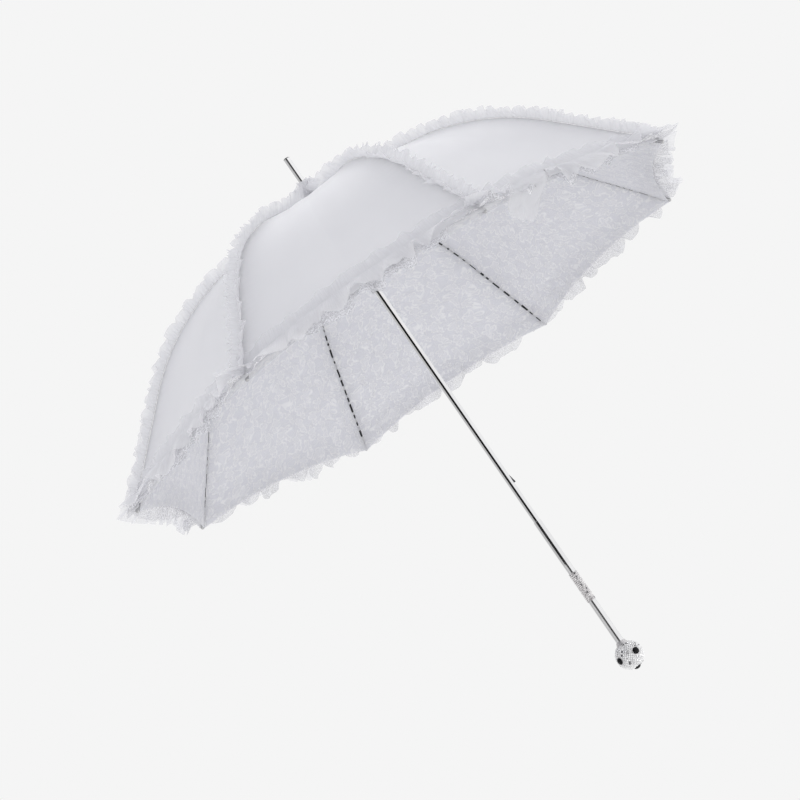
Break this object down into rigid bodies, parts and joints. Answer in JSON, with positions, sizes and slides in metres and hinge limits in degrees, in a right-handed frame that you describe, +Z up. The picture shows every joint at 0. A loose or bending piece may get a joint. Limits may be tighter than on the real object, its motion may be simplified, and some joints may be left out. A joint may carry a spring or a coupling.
{
  "type": "lace parasol",
  "caption": "Folding lace parasol: thin steel shaft, ribs and stretchers on a sliding runner, satin cover with lace lining and ruffles, and a stone-set ball handle.",
  "frame": {"origin": "middle of the bare handle tube, on the shaft's axis, where the parasol is held", "axes": "+Z up the shaft towards the ferrule; +X towards the side that the two catches stand out of"},
  "size_m": [0.7566, 0.7566, 0.7373],
  "materials": {
    "shaft_chrome": "polished",
    "frame_steel": "satin",
    "dark_steel": "satin",
    "satin": "satin",
    "organza": "sheer, gathered",
    "lining_lace": "floral lace",
    "crystal_band": "cut stones",
    "crystal_ball": "pave of cut stones",
    "jet": "polished"
  },
  "bodies": {
    "shaft": {"shaft_tube": "shaft_chrome", "ferrule_cap": "dark_steel", "crown": "frame_steel", "crown_wire": "dark_steel", "crown_rivet": "dark_steel", "cover_washer": "frame_steel", "top_rosette": "organza", "handle_tube": "shaft_chrome", "grip_band": "crystal_band", "ball_core": "crystal_ball", "black_stones": "jet"},
    "runner": {"runner": "frame_steel", "runner_wire": "dark_steel", "runner_lace": "organza"},
    "upper_catch": {"upper_catch": "frame_steel"},
    "lower_catch": {"lower_catch": "frame_steel"},
    "rib_1": {"rib_1": "frame_steel", "rib_tip_1": "dark_steel", "cover_1": "satin", "lining_1": "lining_lace"},
    "stretcher_1": {"stretcher_1": "frame_steel"},
    "rib_2": {"rib_2": "frame_steel", "rib_tip_2": "dark_steel", "cover_2": "satin", "lining_2": "lining_lace"},
    "stretcher_2": {"stretcher_2": "frame_steel"},
    "rib_3": {"rib_3": "frame_steel", "rib_tip_3": "dark_steel", "cover_3": "satin", "lining_3": "lining_lace"},
    "stretcher_3": {"stretcher_3": "frame_steel"},
    "rib_4": {"rib_4": "frame_steel", "rib_tip_4": "dark_steel", "cover_4": "satin", "lining_4": "lining_lace"},
    "stretcher_4": {"stretcher_4": "frame_steel"},
    "rib_5": {"rib_5": "frame_steel", "rib_tip_5": "dark_steel", "cover_5": "satin", "lining_5": "lining_lace"},
    "stretcher_5": {"stretcher_5": "frame_steel"},
    "rib_6": {"rib_6": "frame_steel", "rib_tip_6": "dark_steel", "cover_6": "satin", "lining_6": "lining_lace"},
    "stretcher_6": {"stretcher_6": "frame_steel"},
    "rib_7": {"rib_7": "frame_steel", "rib_tip_7": "dark_steel", "cover_7": "satin", "lining_7": "lining_lace"},
    "stretcher_7": {"stretcher_7": "frame_steel"},
    "rib_8": {"rib_8": "frame_steel", "rib_tip_8": "dark_steel", "cover_8": "satin", "lining_8": "lining_lace"},
    "stretcher_8": {"stretcher_8": "frame_steel"}
  },
  "joints": [
    {"name": "runner_slide", "type": "slide", "parent": "shaft", "child": "runner", "axis": [0, 0, 1], "range_m": [-0.3207, 0], "deforming": ["upper_catch", "lower_catch"]},
    {"name": "upper_catch_press", "type": "slide", "parent": "shaft", "child": "upper_catch", "axis": [1, 0, 0], "range_m": [-0.0023, 0], "stiffness_N_per_m": 600, "springref_m": 0.0008},
    {"name": "lower_catch_press", "type": "slide", "parent": "shaft", "child": "lower_catch", "axis": [1, 0, 0], "range_m": [-0.0023, 0], "stiffness_N_per_m": 600, "springref_m": 0.0008},
    {"name": "rib_fold_1", "type": "hinge", "parent": "shaft", "child": "rib_1", "pos_m": [0.00924, 0.00383, 0.504], "axis": [-0.3827, 0.9239, 0], "range_deg": [0, 59.12], "deforming": ["cover_1", "lining_1"]},
    {"name": "stretcher_fold_1", "type": "hinge", "parent": "rib_1", "child": "stretcher_1", "pos_m": [0.20715, 0.08581, 0.44304], "axis": [-0.3827, 0.9239, 0], "range_deg": [-122.44, 0]},
    {"name": "rib_fold_2", "type": "hinge", "parent": "shaft", "child": "rib_2", "pos_m": [0.00383, 0.00924, 0.504], "axis": [-0.9239, 0.3827, 0], "range_deg": [0, 59.12], "deforming": ["cover_2", "lining_2"]},
    {"name": "stretcher_fold_2", "type": "hinge", "parent": "rib_2", "child": "stretcher_2", "pos_m": [0.08581, 0.20715, 0.44304], "axis": [-0.9239, 0.3827, 0], "range_deg": [-122.44, 0]},
    {"name": "rib_fold_3", "type": "hinge", "parent": "shaft", "child": "rib_3", "pos_m": [-0.00383, 0.00924, 0.504], "axis": [-0.9239, -0.3827, 0], "range_deg": [0, 59.12], "deforming": ["cover_3", "lining_3"]},
    {"name": "stretcher_fold_3", "type": "hinge", "parent": "rib_3", "child": "stretcher_3", "pos_m": [-0.08581, 0.20715, 0.44304], "axis": [-0.9239, -0.3827, 0], "range_deg": [-122.44, 0]},
    {"name": "rib_fold_4", "type": "hinge", "parent": "shaft", "child": "rib_4", "pos_m": [-0.00924, 0.00383, 0.504], "axis": [-0.3827, -0.9239, 0], "range_deg": [0, 59.12], "deforming": ["cover_4", "lining_4"]},
    {"name": "stretcher_fold_4", "type": "hinge", "parent": "rib_4", "child": "stretcher_4", "pos_m": [-0.20715, 0.08581, 0.44304], "axis": [-0.3827, -0.9239, 0], "range_deg": [-122.44, 0]},
    {"name": "rib_fold_5", "type": "hinge", "parent": "shaft", "child": "rib_5", "pos_m": [-0.00924, -0.00383, 0.504], "axis": [0.3827, -0.9239, 0], "range_deg": [0, 59.12], "deforming": ["cover_5", "lining_5"]},
    {"name": "stretcher_fold_5", "type": "hinge", "parent": "rib_5", "child": "stretcher_5", "pos_m": [-0.20715, -0.08581, 0.44304], "axis": [0.3827, -0.9239, 0], "range_deg": [-122.44, 0]},
    {"name": "rib_fold_6", "type": "hinge", "parent": "shaft", "child": "rib_6", "pos_m": [-0.00383, -0.00924, 0.504], "axis": [0.9239, -0.3827, 0], "range_deg": [0, 59.12], "deforming": ["cover_6", "lining_6"]},
    {"name": "stretcher_fold_6", "type": "hinge", "parent": "rib_6", "child": "stretcher_6", "pos_m": [-0.08581, -0.20715, 0.44304], "axis": [0.9239, -0.3827, 0], "range_deg": [-122.44, 0]},
    {"name": "rib_fold_7", "type": "hinge", "parent": "shaft", "child": "rib_7", "pos_m": [0.00383, -0.00924, 0.504], "axis": [0.9239, 0.3827, 0], "range_deg": [0, 59.12], "deforming": ["cover_7", "lining_7"]},
    {"name": "stretcher_fold_7", "type": "hinge", "parent": "rib_7", "child": "stretcher_7", "pos_m": [0.08581, -0.20715, 0.44304], "axis": [0.9239, 0.3827, 0], "range_deg": [-122.44, 0]},
    {"name": "rib_fold_8", "type": "hinge", "parent": "shaft", "child": "rib_8", "pos_m": [0.00924, -0.00383, 0.504], "axis": [0.3827, 0.9239, 0], "range_deg": [0, 59.12], "deforming": ["cover_8", "lining_8"]},
    {"name": "stretcher_fold_8", "type": "hinge", "parent": "rib_8", "child": "stretcher_8", "pos_m": [0.20715, -0.08581, 0.44304], "axis": [0.3827, 0.9239, 0], "range_deg": [-122.44, 0]}
  ],
  "couplings": [
    {"joint": "rib_fold_1", "follows": "runner_slide", "rad_per_m": -3.212},
    {"joint": "stretcher_fold_1", "follows": "runner_slide", "rad_per_m": 6.658},
    {"joint": "rib_fold_2", "follows": "runner_slide", "rad_per_m": -3.212},
    {"joint": "stretcher_fold_2", "follows": "runner_slide", "rad_per_m": 6.658},
    {"joint": "rib_fold_3", "follows": "runner_slide", "rad_per_m": -3.212},
    {"joint": "stretcher_fold_3", "follows": "runner_slide", "rad_per_m": 6.658},
    {"joint": "rib_fold_4", "follows": "runner_slide", "rad_per_m": -3.212},
    {"joint": "stretcher_fold_4", "follows": "runner_slide", "rad_per_m": 6.658},
    {"joint": "rib_fold_5", "follows": "runner_slide", "rad_per_m": -3.212},
    {"joint": "stretcher_fold_5", "follows": "runner_slide", "rad_per_m": 6.658},
    {"joint": "rib_fold_6", "follows": "runner_slide", "rad_per_m": -3.212},
    {"joint": "stretcher_fold_6", "follows": "runner_slide", "rad_per_m": 6.658},
    {"joint": "rib_fold_7", "follows": "runner_slide", "rad_per_m": -3.212},
    {"joint": "stretcher_fold_7", "follows": "runner_slide", "rad_per_m": 6.658},
    {"joint": "rib_fold_8", "follows": "runner_slide", "rad_per_m": -3.212},
    {"joint": "stretcher_fold_8", "follows": "runner_slide", "rad_per_m": 6.658}
  ]
}
